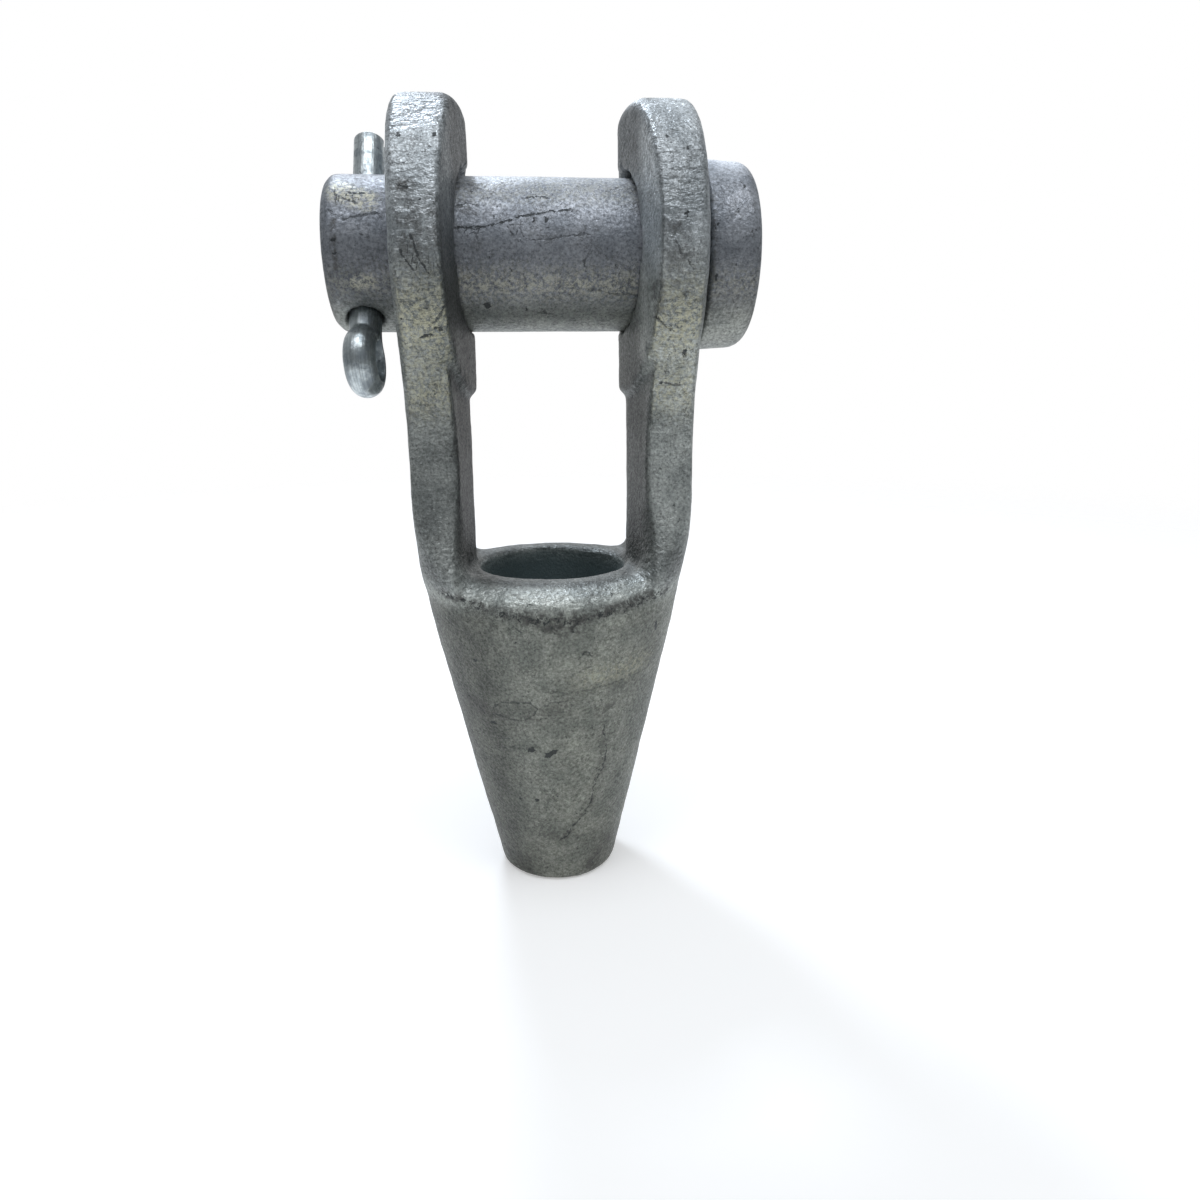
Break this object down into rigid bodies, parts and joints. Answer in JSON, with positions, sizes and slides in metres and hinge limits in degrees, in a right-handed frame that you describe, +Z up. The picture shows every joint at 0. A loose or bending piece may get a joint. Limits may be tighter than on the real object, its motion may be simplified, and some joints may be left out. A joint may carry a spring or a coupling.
{
  "type": "open spelter socket",
  "caption": "Open spelter socket: a conical basket with a tapered bore, waisted legs ending in round ears, a headed clevis pin through the ears and a split pin that keeps it.",
  "frame": {"origin": "the basket's axis at the small end's face, on which the socket stands", "axes": "+Z up the basket to the jaw, +X along the clevis pin to its head, -Y the side the picture is taken from"},
  "size_m": [0.0989, 0.0668, 0.1949],
  "materials": {
    "galvanised_forging": "hot-dip galvanised forging, dull grey with fine bright texture",
    "galvanised_pin": "hot-dip galvanised bar, smooth blue-grey",
    "bright_zinc": "bright zinc-plated wire, glossy"
  },
  "bodies": {
    "socket": {"socket": "galvanised_forging"},
    "pin": {"clevis_pin": "galvanised_pin"},
    "keeper": {"split_pin": "bright_zinc"}
  },
  "joints": [
    {"name": "pin_turn", "type": "hinge", "parent": "socket", "child": "pin", "pos_m": [0, 0, 0.16064], "axis": [1, 0, 0], "continuous": true},
    {"name": "split_pull", "type": "slide", "parent": "pin", "child": "keeper", "axis": [0, -0.5, -0.866], "range_m": [0, 0.05]}
  ]
}
